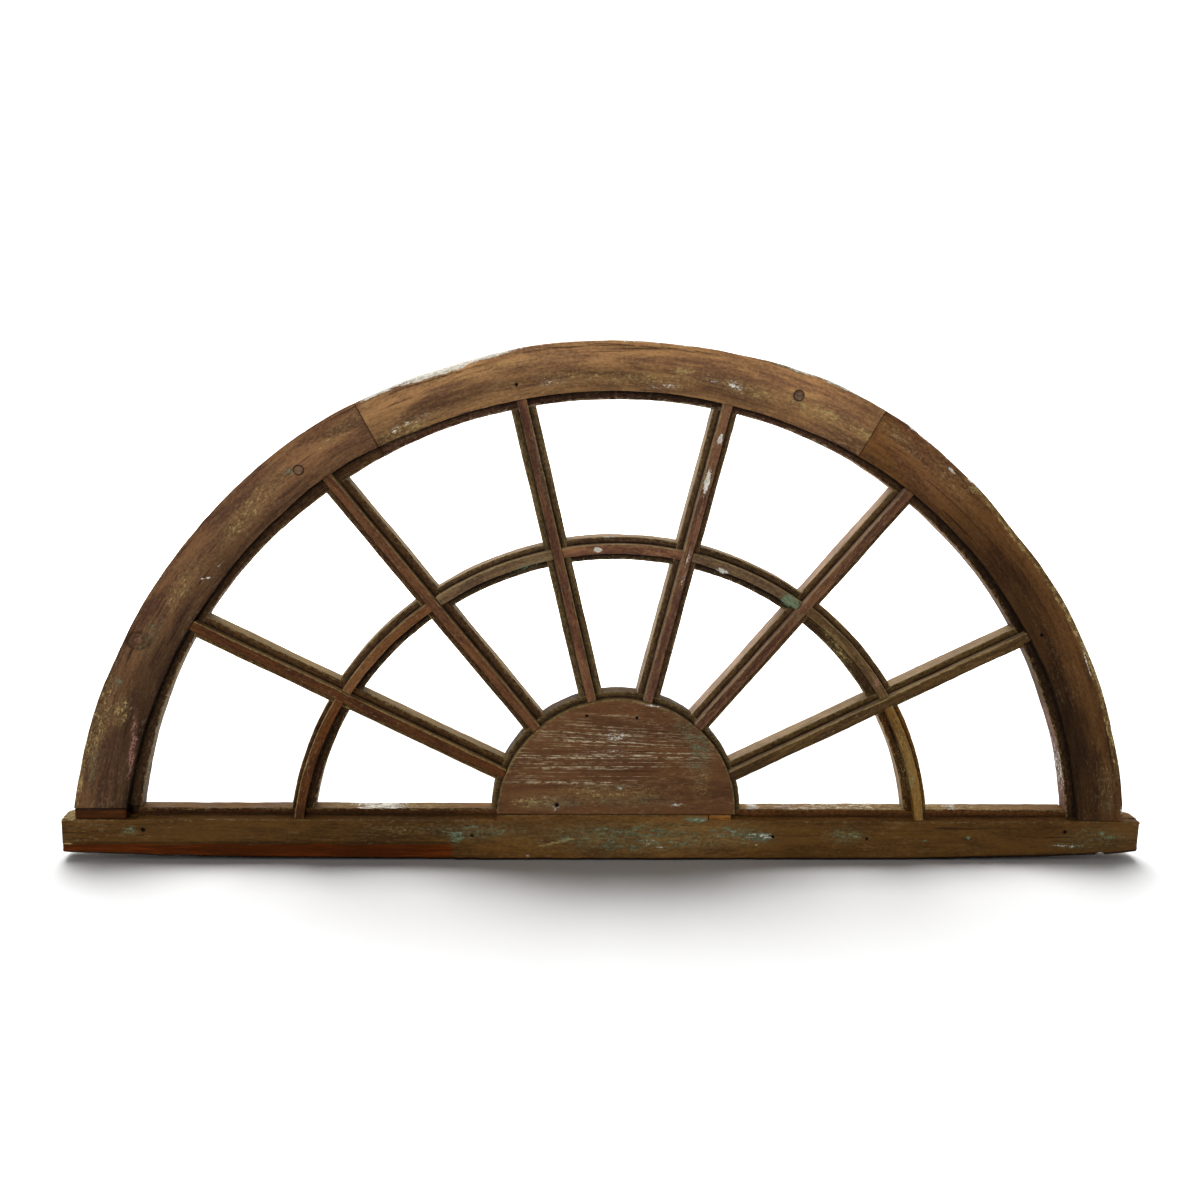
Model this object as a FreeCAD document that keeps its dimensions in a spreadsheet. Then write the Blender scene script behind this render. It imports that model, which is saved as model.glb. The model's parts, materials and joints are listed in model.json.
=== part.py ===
import FreeCAD, Part
import os

# Sunburst fanlight sash, millimetres, +Z up, glazing side towards -Y, rail underside on Z = 0

doc = FreeCAD.newDocument("fanlight")
sizes = doc.addObject("Spreadsheet::Sheet", "Sizes")


# Driving dimensions
DIMENSIONS = {
    "thickness": 34,
    "rebate_depth": 10,
    "rebate_width": 8,
    "mould_depth": 3,
    "mould_width": 3,
    "fit": 0.2,
    "horn_left": 16.7,
    "horn_right": 20.7,
    "horn_corner": 14,
    "rail_front_height": 47.6,
    "rail_ledge_rise": 9.4,
    "hub_seat_rise": 6.4,
    "rail_taper_left": 410,
    "rail_taper_right": 280,
    "rail_end_rise": 10,
    "arch_centre_x": -2,
    "arch_centre_z": -11,
    "arch_radius": 591.3,
    "arch_face_width": 54,
    "joint_left_angle": 118.75,
    "joint_right_angle": 61.75,
    "lap_angle": 15,
    "lap_depth": 20,
    "peg_left_angle": 127.5,
    "peg_left_inset": 27.5,
    "peg_left_size": 10.4,
    "peg_right_angle": 70.9,
    "peg_right_inset": 23.3,
    "peg_right_size": 11.6,
    "peg_head_rise": 1.6,
    "hub_centre_x": 2,
    "hub_radius": 134.4,
    "hub_ledge_width": 6.6,
    "ray_centre_x": 2,
    "ray_centre_z": 50,
    "ray_nose_width": 10,
    "ray_setback": 0.8,
    "ray_1_angle": 153.82,
    "ray_1_shift": 9.9,
    "ray_2_angle": 129.33,
    "ray_2_shift": 4.5,
    "ray_3_angle": 104.08,
    "ray_3_shift": -2.8,
    "ray_4_angle": 77.11,
    "ray_4_shift": -0.3,
    "ray_5_angle": 50.51,
    "ray_5_shift": 0.2,
    "ray_6_angle": 26.63,
    "ray_6_shift": -12.3,
    "ring_centre_x": -1,
    "ring_centre_z": 5,
    "ring_radius": 352,
    "ring_nose_width": 9.6,
    "ring_setback": 1.4,
    "patch_inset": 4.4,
    "patch_length": 26,
    "slip_height": 10.4,
}

# Sizes that follow from the driving dimensions
FOLLOWING = {
    "front": "-thickness / 2",
    "bed": "front + rebate_depth",
    "mould": "thickness / 2 - mould_depth",
    "back": "thickness / 2",
    "lap": "front + lap_depth",
    "rail_height": "rail_front_height + rail_ledge_rise",
    "seat_height": "rail_front_height + hub_seat_rise",
    "rail_left": "arch_centre_x - arch_radius - horn_left",
    "rail_right": "arch_centre_x + arch_radius + horn_right",
    "rail_length": "rail_right - rail_left",
    "taper_left": "atan(rail_end_rise / rail_taper_left) / 1 deg",
    "taper_right": "atan(rail_end_rise / rail_taper_right) / 1 deg",
    "arch_face_radius": "arch_radius - arch_face_width",
    "arch_ledge_radius": "arch_face_radius - rebate_width",
    "peg_left_radius": "arch_radius - peg_left_inset",
    "peg_right_radius": "arch_radius - peg_right_inset",
    "ray_reach": "arch_radius",
    "lap_left_angle": "joint_left_angle + lap_angle",
    "lap_right_angle": "joint_right_angle + lap_angle",
    "hub_ledge_radius": "hub_radius + hub_ledge_width",
    "hub_left": "hub_centre_x - hub_radius",
    "patch_left": "hub_centre_x + hub_radius - patch_inset - patch_length",
    "ray_width": "ray_nose_width + 2 * rebate_width",
    "ring_width": "ring_nose_width + 2 * rebate_width",
    "ring_inner": "ring_radius - ring_width / 2",
    "ring_outer": "ring_radius + ring_width / 2",
}

# Angle about the ring centre at which each ray crosses the ring
for number in range(1, 7):
    ray = f"ray_{number}"
    turn = f"{ray}_angle"
    shift = f"{ray}_shift"
    FOLLOWING[f"{ray}_ex"] = f"ray_centre_x - ring_centre_x - sin({turn}) * {shift}"
    FOLLOWING[f"{ray}_ez"] = f"ray_centre_z - ring_centre_z + cos({turn}) * {shift}"
    FOLLOWING[f"{ray}_along"] = f"{ray}_ex * cos({turn}) + {ray}_ez * sin({turn})"
    FOLLOWING[f"{ray}_aside"] = f"{ray}_ez * cos({turn}) - {ray}_ex * sin({turn})"
    FOLLOWING[f"{ray}_run"] = f"sqrt(ring_radius ^ 2 - {ray}_aside ^ 2) - {ray}_along"
    FOLLOWING[f"{ray}_cross"] = (
        f"atan2({ray}_ez + {ray}_run * sin({turn}); {ray}_ex + {ray}_run * cos({turn})) / 1 deg"
    )

row = 1
for alias, value in DIMENSIONS.items():
    sizes.set(f"A{row}", alias)
    sizes.set(f"B{row}", str(value))
    sizes.setAlias(f"B{row}", alias)
    row += 1
for alias, formula in FOLLOWING.items():
    sizes.set(f"A{row}", alias)
    sizes.setAlias(f"B{row}", alias)
    row += 1
row = len(DIMENSIONS) + 1
for alias, formula in FOLLOWING.items():
    sizes.set(f"B{row}", "=" + formula)
    row += 1
doc.recompute()


# Solids placed by the sheet

def of_sheet(formula):
    """Turn a formula in plain size names into one that reads them from the sheet."""
    words = ""
    word = ""
    for letter in formula + " ":
        if letter.isalnum() or letter == "_":
            word += letter
            continue
        if word in DIMENSIONS or word in FOLLOWING:
            word = "Sizes." + word
        words += word + letter
        word = ""
    return words.strip()


def bind(item, **formulas):
    """Bind properties of an item to formulas in the names of the sheet."""
    for name, formula in formulas.items():
        item.setExpression(name, of_sheet(str(formula)))
    return item


def place(item, x, y, z, turn="0", roll="0"):
    """Place an item at a point, rolled about X, then turned from +X towards +Z."""
    spot = f"create(<<vector>>; {of_sheet(x)}; {of_sheet(y)}; {of_sheet(z)})"
    facing = f"create(<<rotation>>; 0; 0 - ({of_sheet(turn)}); {roll})"
    item.setExpression("Placement", f"create(<<placement>>; {spot}; {facing})")
    return item


def box(name, x, y, z, length, width, height, turn="0"):
    """Box from a corner, turned from +X towards +Z about that corner."""
    item = doc.addObject("Part::Box", name)
    bind(item, Length=length, Width=width, Height=height)
    return place(item, x, y, z, turn)


def disc(name, centre, radius, near, far, first="0", last="360"):
    """Disc or sector square to the glazing, between two depths and two angles."""
    item = doc.addObject("Part::Cylinder", name)
    bind(item, Radius=radius, Height=f"{far} - ({near})", Angle=f"{last} - ({first})")
    return place(item, centre + "_x", near, centre_height(centre), last, "-90")


def cone(name, centre, near_radius, far_radius, near, far, first="0", last="360"):
    """Disc or sector whose rim slopes between two depths."""
    item = doc.addObject("Part::Cone", name)
    bind(item, Radius1=near_radius, Radius2=far_radius, Height=f"{far} - ({near})")
    bind(item, Angle=f"{last} - ({first})")
    return place(item, centre + "_x", near, centre_height(centre), last, "-90")


def centre_height(centre):
    """The hub sits on its seat, the arch and the ring have a height of their own."""
    return "seat_height" if centre == "hub_centre" else centre + "_z"


def cut(name, base, tool):
    item = doc.addObject("Part::Cut", name)
    item.Base = base
    item.Tool = tool
    return item


def common(name, first, second):
    item = doc.addObject("Part::Common", name)
    item.Base = first
    item.Tool = second
    return item


def join(name, *pieces):
    item = doc.addObject("Part::MultiFuse", name)
    item.Shapes = list(pieces)
    item.Refine = True
    return item


nodes = []


def node(item):
    nodes.append(item)
    return item


# Space above the rail at its front edge, above its ledge and above the seat of the hub
above_front = box("above_front", "-rail_length", "-thickness", "rail_front_height",
                  "2 * rail_length", "2 * thickness", "rail_length")
above_rail = box("above_rail", "-rail_length", "-thickness", "rail_height",
                 "2 * rail_length", "2 * thickness", "rail_length")
above_seat = box("above_seat", "-rail_length", "-thickness", "seat_height",
                 "2 * rail_length", "2 * thickness", "rail_length")

# Space inside the arch that rail and bars may fill, layer by layer from the front
room_nose = disc("room_nose", "arch_centre", "arch_face_radius - fit", "front", "bed")
room_body = disc("room_body", "arch_centre", "arch_ledge_radius - fit", "bed", "mould")
room_mould = cone("room_mould", "arch_centre", "arch_ledge_radius - fit",
                  "arch_ledge_radius - fit + mould_width", "mould", "back")

# Space that the hub takes with its fitting gap, for trimming the ledge and the bars
hub_trim_nose = disc("hub_trim_nose", "hub_centre", "hub_radius + fit", "front", "bed")
hub_trim_body = disc("hub_trim_body", "hub_centre", "hub_ledge_radius + fit", "bed", "mould")
hub_trim_mould = cone("hub_trim_mould", "hub_centre", "hub_ledge_radius + fit",
                      "hub_ledge_radius + fit - mould_width", "mould", "back")

# Bottom rail, tapered under both horns, with its glazing ledge and the seat of the hub let into it
rail_blank = box("rail_blank", "rail_left", "front", "0",
                 "rail_length", "thickness", "rail_front_height")
rail_waste_right = box("rail_waste_right",
                       "rail_right - rail_taper_right + sin(taper_right) * rail_front_height",
                       "-thickness",
                       "0 - cos(taper_right) * rail_front_height",
                       "rail_length", "2 * thickness", "rail_front_height", "taper_right")
rail_waste_left = box("rail_waste_left",
                      "rail_left + rail_taper_left - cos(taper_left) * rail_length"
                      " - sin(taper_left) * rail_front_height",
                      "-thickness",
                      "sin(taper_left) * rail_length - cos(taper_left) * rail_front_height",
                      "rail_length", "2 * thickness", "rail_front_height", "-taper_left")


def horn_waste(name, corner_x, round_x):
    """Waste outside the rounded back corner of a horn, seen from above."""
    block = box(name + "_block", corner_x, "back - horn_corner", "0",
                "horn_corner", "horn_corner", "rail_front_height")
    post = doc.addObject("Part::Cylinder", name + "_post")
    bind(post, Radius="horn_corner", Height="rail_front_height")
    place(post, round_x, "back - horn_corner", "0")
    return cut(name, block, post)


rail_base = rail_blank
for number, waste in enumerate((
        rail_waste_right,
        rail_waste_left,
        horn_waste("horn_waste_left", "rail_left", "rail_left + horn_corner"),
        horn_waste("horn_waste_right", "rail_right - horn_corner", "rail_right - horn_corner"))):
    rail_base = cut(f"rail_base_{number}", rail_base, waste)
ledge_body_bar = box("ledge_body_bar", "rail_left", "bed", "rail_front_height",
                     "rail_length", "mould - bed", "rail_ledge_rise")
ledge_back_bar = box("ledge_back_bar", "rail_left", "mould", "rail_front_height",
                     "rail_length", "mould_depth", "rail_ledge_rise")
ledges = []
for name, bar, room, hub_trim in (
        ("ledge_body", ledge_body_bar, room_body, hub_trim_body),
        ("ledge_back", ledge_back_bar, room_mould, hub_trim_mould)):
    housing = common(name + "_housing", hub_trim, above_seat)
    ledges.append(cut(name, common(name + "_in_arch", bar, room), housing))
hub_seat = box("hub_seat", "hub_left", "front", "rail_front_height",
               "patch_left - fit - hub_left", "rebate_depth", "hub_seat_rise")
node(join("bottom_rail", rail_base, *ledges, hub_seat))

# Patch block under the right corner of the hub
node(box("patch_block", "patch_left", "front", "rail_front_height",
         "patch_length", "rebate_depth - fit", "hub_seat_rise"))


# Arch in three pieces, each a front layer with the rebate and a back layer with the moulding

def arch_front(name, first, last):
    face = cut(name + "_face",
               disc(name + "_face_disc", "arch_centre", "arch_radius", "front", "bed", first, last),
               disc(name + "_face_void", "arch_centre", "arch_face_radius", "front", "bed"))
    ledge = cut(name + "_ledge",
                disc(name + "_ledge_disc", "arch_centre", "arch_radius", "bed", "lap", first, last),
                disc(name + "_ledge_void", "arch_centre", "arch_ledge_radius", "bed", "lap"))
    return [face, ledge]


def arch_back(name, first, last):
    flat = cut(name + "_flat",
               disc(name + "_flat_disc", "arch_centre", "arch_radius", "lap", "mould", first, last),
               disc(name + "_flat_void", "arch_centre", "arch_ledge_radius", "lap", "mould"))
    slope = cut(name + "_slope",
                disc(name + "_slope_disc", "arch_centre", "arch_radius", "mould", "back", first, last),
                cone(name + "_slope_void", "arch_centre", "arch_ledge_radius",
                     "arch_ledge_radius + mould_width", "mould", "back"))
    return [flat, slope]


def peg(name, side):
    """Peg through the lap with a low domed head on the glazing side."""
    out = f"peg_{side}_radius"
    turn = f"peg_{side}_angle"
    across = f"peg_{side}_size"
    x = f"arch_centre_x + {out} * cos({turn})"
    z = f"arch_centre_z + {out} * sin({turn})"
    shank = doc.addObject("Part::Cylinder", name + "_shank")
    bind(shank, Radius=f"{across} / 2", Height="thickness")
    place(shank, x, "front", z, "0", "-90")
    head = doc.addObject("Part::Cone", name + "_head")
    bind(head, Radius1=f"{across} / 2", Radius2=f"{across} / 4", Height="peg_head_rise")
    place(head, x, "front", z, "0", "90")
    hole = doc.addObject("Part::Cylinder", name + "_hole")
    bind(hole, Radius=f"{across} / 2 + fit / 2", Height="2 * thickness")
    place(hole, x, "-thickness", z, "0", "-90")
    return join(name, shank, head), hole


peg_left, hole_left = peg("arch_peg_left", "left")
peg_right, hole_right = peg("arch_peg_right", "right")

left_blank = join("arch_left_blank",
                  *arch_front("arch_left_front", "joint_left_angle", "190"),
                  *arch_back("arch_left_back", "lap_left_angle", "190"))
crown_blank = join("arch_crown_blank",
                   *arch_front("arch_crown_front", "joint_right_angle", "joint_left_angle"),
                   *arch_back("arch_crown_back", "lap_right_angle", "lap_left_angle"))
right_blank = join("arch_right_blank",
                   *arch_front("arch_right_front", "-10", "joint_right_angle"),
                   *arch_back("arch_right_back", "-10", "lap_right_angle"))
slip_ring = cut("slip_ring",
                disc("slip_disc", "arch_centre", "arch_radius", "front", "lap", "150", "190"),
                disc("slip_void", "arch_centre", "arch_face_radius", "front", "lap"))
slip_space = box("slip_space", "-rail_length", "-thickness", "rail_front_height",
                 "rail_length", "2 * thickness", "slip_height")
foot_slip = node(common("foot_slip", slip_ring, slip_space))
left_bored = cut("arch_left_bored", left_blank, hole_left)
left_footed = common("arch_left_footed", left_bored, above_front)
node(cut("arch_left", left_footed, foot_slip))
crown_bored = cut("arch_crown_bored", crown_blank, hole_left)
node(cut("arch_crown", crown_bored, hole_right))
node(common("arch_right", cut("arch_right_bored", right_blank, hole_right), above_front))
node(peg_left)
node(peg_right)

# Hub block, a half-round board with the rebate round its edge
hub_disc = join("hub_disc",
                disc("hub_face", "hub_centre", "hub_radius", "front", "bed"),
                disc("hub_body", "hub_centre", "hub_ledge_radius", "bed", "mould"),
                cone("hub_mould", "hub_centre", "hub_ledge_radius",
                     "hub_ledge_radius - mould_width", "mould", "back"))
node(common("hub_block", hub_disc, above_seat))


# Ray bars, each a nose, a body and a moulded back between hub and arch

def ray_strip(name, number, width, near, far):
    """Straight strip along a ray, from the ray centre outwards."""
    turn = f"ray_{number}_angle"
    aside = f"(ray_{number}_shift - ({width}) / 2)"
    x = f"ray_centre_x - sin({turn}) * {aside}"
    z = f"ray_centre_z + cos({turn}) * {aside}"
    return box(name, x, near, z, "ray_reach", f"{far} - ({near})", width, turn)


def ray_slope(name, number):
    """Strip along a ray whose back is narrower than its front."""
    turn = f"ray_{number}_angle"
    aside = f"(ray_{number}_shift - ray_width / 2)"
    item = doc.addObject("Part::Wedge", name)
    bind(item, Xmin="0", Xmax="ray_reach", X2min="0", X2max="ray_reach")
    bind(item, Ymin="0", Ymax="mould_depth", Zmin="0", Zmax="ray_width")
    bind(item, Z2min="mould_width", Z2max="ray_width - mould_width")
    x = f"ray_centre_x - sin({turn}) * {aside}"
    z = f"ray_centre_z + cos({turn}) * {aside}"
    return place(item, x, "mould", z, turn)


def trim(name, strip, room, waste):
    return cut(name, common(name + "_in_arch", strip, room), waste)


strips = {}
for number in range(1, 7):
    name = f"ray_bar_{number}"
    nose = ray_strip(name + "_nose", number, "ray_nose_width", "front + ray_setback", "bed")
    body = ray_strip(name + "_body", number, "ray_width", "bed", "mould")
    slope = ray_slope(name + "_slope", number)
    strips[number] = (nose, body, slope)
    node(join(name,
              trim(name + "_nose_cut", nose, room_nose, hub_trim_nose),
              trim(name + "_body_cut", body, room_body, hub_trim_body),
              trim(name + "_slope_cut", slope, room_mould, hub_trim_mould)))


# Ring bars, curved pieces that butt against the rays on both sides

def ring_layers(name, first, last):
    nose = cut(name + "_nose",
               disc(name + "_nose_disc", "ring_centre", "ring_radius + ring_nose_width / 2",
                    "front + ring_setback", "bed", first, last),
               disc(name + "_nose_void", "ring_centre", "ring_radius - ring_nose_width / 2",
                    "front", "bed"))
    body = cut(name + "_body",
               disc(name + "_body_disc", "ring_centre", "ring_outer", "bed", "mould", first, last),
               disc(name + "_body_void", "ring_centre", "ring_inner", "bed", "mould"))
    slope = cut(name + "_slope",
                cone(name + "_slope_disc", "ring_centre", "ring_outer",
                     "ring_outer - mould_width", "mould", "back", first, last),
                cone(name + "_slope_void", "ring_centre", "ring_inner",
                     "ring_inner + mould_width", "mould", "back"))
    return [nose, body, slope]


for number in range(1, 8):
    name = f"ring_bar_{number}"
    first = f"ray_{number}_cross" if number < 7 else "-10"
    last = f"ray_{number - 1}_cross" if number > 1 else "190"
    pieces = []
    for layer, piece in enumerate(ring_layers(name, first, last)):
        for beside in (number - 1, number):
            if beside in strips:
                piece = cut(f"{name}_{layer}_butt_{beside}", piece, strips[beside][layer])
        if number in (1, 7):
            above = above_front if layer == 0 else above_rail
            piece = common(f"{name}_{layer}_foot", piece, above)
        pieces.append(piece)
    node(join(name, *pieces))

doc.recompute()

# Every feature must be sound before anything is written
for item in doc.Objects:
    state = " ".join(item.State)
    if "Invalid" in state or "Error" in state:
        raise RuntimeError(item.Name + " failed: " + state)
os.makedirs("parts", exist_ok=True)
for item in nodes:
    item.Label = item.Name
    shape = item.Shape
    if shape.isNull() or not shape.isValid() or len(shape.Solids) != 1:
        raise RuntimeError(f"{item.Name} has {len(shape.Solids)} solids")
    shape.exportStep(f"parts/{item.Name}.step")
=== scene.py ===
import json
import bpy
import numpy as np
from mathutils import Matrix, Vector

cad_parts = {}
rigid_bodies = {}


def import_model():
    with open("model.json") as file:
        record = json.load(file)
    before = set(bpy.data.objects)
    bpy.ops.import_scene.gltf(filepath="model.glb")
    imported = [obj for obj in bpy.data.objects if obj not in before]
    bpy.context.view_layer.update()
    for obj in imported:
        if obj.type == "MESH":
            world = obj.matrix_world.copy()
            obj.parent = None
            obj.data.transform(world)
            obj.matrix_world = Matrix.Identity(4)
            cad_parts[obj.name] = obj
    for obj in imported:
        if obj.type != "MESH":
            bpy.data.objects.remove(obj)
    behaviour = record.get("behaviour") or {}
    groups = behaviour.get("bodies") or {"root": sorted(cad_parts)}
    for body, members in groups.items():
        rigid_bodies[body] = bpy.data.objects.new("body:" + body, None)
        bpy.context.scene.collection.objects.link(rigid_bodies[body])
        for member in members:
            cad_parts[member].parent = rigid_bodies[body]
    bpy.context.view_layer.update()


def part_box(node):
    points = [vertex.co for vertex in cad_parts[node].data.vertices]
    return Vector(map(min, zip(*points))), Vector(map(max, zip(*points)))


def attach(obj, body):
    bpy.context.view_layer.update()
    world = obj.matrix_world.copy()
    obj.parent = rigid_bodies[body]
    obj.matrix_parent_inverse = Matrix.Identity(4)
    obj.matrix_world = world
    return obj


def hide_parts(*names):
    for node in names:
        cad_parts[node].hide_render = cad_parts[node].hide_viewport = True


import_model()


# Bottom rail
# One sawn plank of old timber that carries the whole fan. Its upper front edge is cut back to a glazing
# rebate, its underside rises towards the horns, and a long splinter has come off the lower left.
def wander(places, sizes, seed):
    """Unevenness of about -1 to 1 at each place: the mean of fourteen sine waves that cross the timber,
    each in its own direction and about as long as the three sizes say."""
    dice = np.random.default_rng(seed)
    ways = dice.normal(size=(14, 3))
    ways *= 2 * np.pi * dice.uniform(0.6, 1.7, (14, 1)) / np.linalg.norm(ways, axis=1, keepdims=True)
    start = dice.uniform(0, 2 * np.pi, 14)
    return np.sin(places / np.asarray(sizes) @ ways.T + start).mean(-1) * 2.2


def wander_along(run, size, seed):
    """The same unevenness along a line, at each distance that has been run."""
    return wander(np.stack([run, 0 * run, 0 * run], -1), (size, 1, 1), seed)


def rise(value, low, high):
    """0 below low, 1 above high, and a smoothstep curve between them."""
    t = np.clip((value - low) / (high - low), 0, 1)
    return t * t * (3 - 2 * t)


def eased(where, stations, values):
    """The value at each place, which passes from one station to the next along a smoothstep curve."""
    stations, values = np.asarray(stations, float), np.asarray(values, float)
    first = np.clip(np.searchsorted(stations, where) - 1, 0, len(stations) - 2)
    t = rise(where, stations[first], stations[first + 1])
    return values[first] + (values[first + 1] - values[first]) * t


def spread(start, stop, step, keep=()):
    """Stations from start to stop, about one step apart, closer at both ends and close on each side of
    every kept place, where the section changes at once."""
    near = np.array([0.0003, 0.0008, 0.0015, 0.0026])
    sides = [np.array([place - 0.0002, place + 0.0002]) for place in keep]
    even = np.linspace(start, stop, int(round((stop - start) / step)) + 1)
    return np.unique(np.concatenate([even, start + near, stop - near, *sides]))


def worn_section(corners, rounding, runs, rings, rub_and_highlight, fade=0.0022):
    """Closed section whose corners are worn round. Every run is a straight line that stops short of its
    corners by their rounding, and every corner is a quadratic curve from run to run. Corners and rounding
    may change from ring to ring. edge is rub_and_highlight at an outer corner, -1 at an inner one, and fades
    beside it, more slowly on a glazing bed. rub_and_highlight pales the arris as wear, and where it is set
    higher on a bar's upper edge also as a painted highlight; the -1 of an inner corner darkens it as dirt
    and painted shade."""
    count = len(corners)
    place, radius = np.empty((rings, count, 2)), np.empty((rings, count))
    for i in range(count):
        place[:, i, 0], place[:, i, 1] = corners[i]
        radius[:, i] = rounding[i]
    ahead = np.roll(place, -1, 1) - place
    length = np.linalg.norm(ahead, axis=2)
    heading = ahead / np.maximum(length, 1e-9)[..., None]
    radius = np.minimum(radius, 0.45 * np.minimum(length, np.roll(length, 1, 1)))
    before = np.roll(heading, 1, 1)
    after = np.roll(place, -1, 1)
    area = (place[..., 0] * after[..., 1] - after[..., 0] * place[..., 1]).sum(1, keepdims=True)
    turned = np.sign(area) * (before[..., 0] * heading[..., 1] - before[..., 1] * heading[..., 0])
    outer = np.where(turned > 0, np.array(rub_and_highlight), -1.0)
    points, edge, bed, side = [], [], [], []
    for i, (steps, in_bed, at_side) in enumerate(runs):
        j = (i + 1) % count
        start = place[:, i] + heading[:, i] * radius[:, i, None]
        stop = place[:, j] - heading[:, i] * radius[:, j, None]
        leave = place[:, j] + heading[:, j] * radius[:, j, None]
        t = np.linspace(0, 1, steps + 1)
        points.append(start[:, None] * (1 - t[:, None]) + stop[:, None] * t[:, None])
        gone, left = length[:, i, None] * t, length[:, i, None] * (1 - t)
        reach = 0.0025 if in_bed == 1 else fade
        edge.append(outer[:, i, None] * np.exp(-(gone / reach) ** 2)
                    + outer[:, j, None] * np.exp(-(left / reach) ** 2))
        t = np.array([0.2, 0.4, 0.6, 0.8])[:, None]
        points.append(stop[:, None] * (1 - t) ** 2 + place[:, j, None] * 2 * t * (1 - t)
                      + leave[:, None] * t ** 2)
        edge.append(np.repeat(outer[:, j, None], 4, 1))
        bed += [in_bed] * (steps + 5)
        side += [at_side] * (steps + 5)
    points = np.concatenate(points, 1)
    edge = np.clip(np.concatenate(edge, 1), -1, 1)
    return {"across": points[..., 0], "depth": points[..., 1], "edge": edge,
            "bed": np.broadcast_to(np.array(bed, float), edge.shape),
            "side": np.broadcast_to(np.array(side, float), edge.shape)}


def swept(section, along, path, run, ends, relief):
    """Shell of a section carried along a path: the place of ring i and section point j is the path at
    along[i, j], or at along[i, 0] where the cut is square. Near an end the section draws in by a quarter
    circle of that end's size, and everywhere it swells or sinks along its own outward normal by the relief.
    run is how far each ring has come, and lie is each vertex's place in the straight plank: along the grain,
    in depth and across."""
    across, depth = section["across"], section["depth"]
    along = np.broadcast_to(along, across.shape)
    way_across = np.roll(across, -1, 1) - np.roll(across, 1, 1)
    way_depth = np.roll(depth, -1, 1) - np.roll(depth, 1, 1)
    size = np.maximum(np.hypot(way_across, way_depth), 1e-9)
    area = (across * np.roll(depth, -1, 1) - np.roll(across, -1, 1) * depth).sum(1, keepdims=True)
    out_across, out_depth = np.sign(area) * way_depth / size, -np.sign(area) * way_across / size
    shift = relief(path(along, across, depth))
    for gap, round_off in ((run - run[0], ends[0]), (run[-1] - run, ends[1])):
        short = np.maximum(round_off - gap, 0)
        shift = shift - (round_off - np.sqrt(np.maximum(round_off ** 2 - short ** 2, 0)))[:, None]
    places = path(along, across + out_across * shift, depth + out_depth * shift)
    marks = {"arris": np.maximum(section["edge"], 0), "crease": np.maximum(-section["edge"], 0),
             "bed": section["bed"], "side": section["side"],
             "lie": np.stack([np.broadcast_to(run[:, None], across.shape), depth, across], -1)}
    return places, marks


def end_grain(places, marks):
    """The shell with both ends carried inwards to their middles in four steps, where the end grain shows
    without the wear, dirt and painted shade of the long edges."""
    def closing(ring, shares):
        return ring.mean(0) + (ring - ring.mean(0)) * np.array(shares)[:, None, None]

    steps = [0.12, 0.45, 0.75, 0.93]
    full = {kind: np.broadcast_to(worth, places.shape[:2]) for kind, worth in marks.items() if kind != "lie"}
    none = np.zeros((4, places.shape[1]))
    grown = {kind: np.concatenate([none, worth, none]) for kind, worth in full.items()}
    for kind, whole in (("lie", marks["lie"]), ("place", places)):
        grown[kind] = np.concatenate([closing(whole[0], steps), whole, closing(whole[-1], steps[::-1])])
    return grown.pop("place"), grown


def daub(places, spots, deepest=-0.0064):
    """How much of a mark is left at each place, 0 to 1, on surfaces in front of the deepest one: flat soft
    ellipses, each with its centre x and z, half length and half width in mm, turn in degrees and strength."""
    left = np.zeros(places.shape[:-1])
    for x, z, long, wide, turn, strength in spots:
        right, up = places[..., 0] * 1000 - x, places[..., 2] * 1000 - z
        cos, sin = np.cos(np.radians(turn)), np.sin(np.radians(turn))
        q = ((right * cos + up * sin) / long) ** 2 + ((up * cos - right * sin) / wide) ** 2
        left = np.maximum(left, strength / (1 + q * q))
    return left * (places[..., 1] < deepest)


def pitted(places, holes):
    """Depth of nail holes in the front face: a round dip at each x and z, with its radius, in mm."""
    dip = np.zeros(places.shape[:-1])
    for x, z, size in holes:
        gap = np.hypot(places[..., 0] * 1000 - x, places[..., 2] * 1000 - z)
        dip = dip - 0.0024 * np.exp(-(gap / size) ** 4)
    return dip * (places[..., 1] < -0.012)


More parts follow.
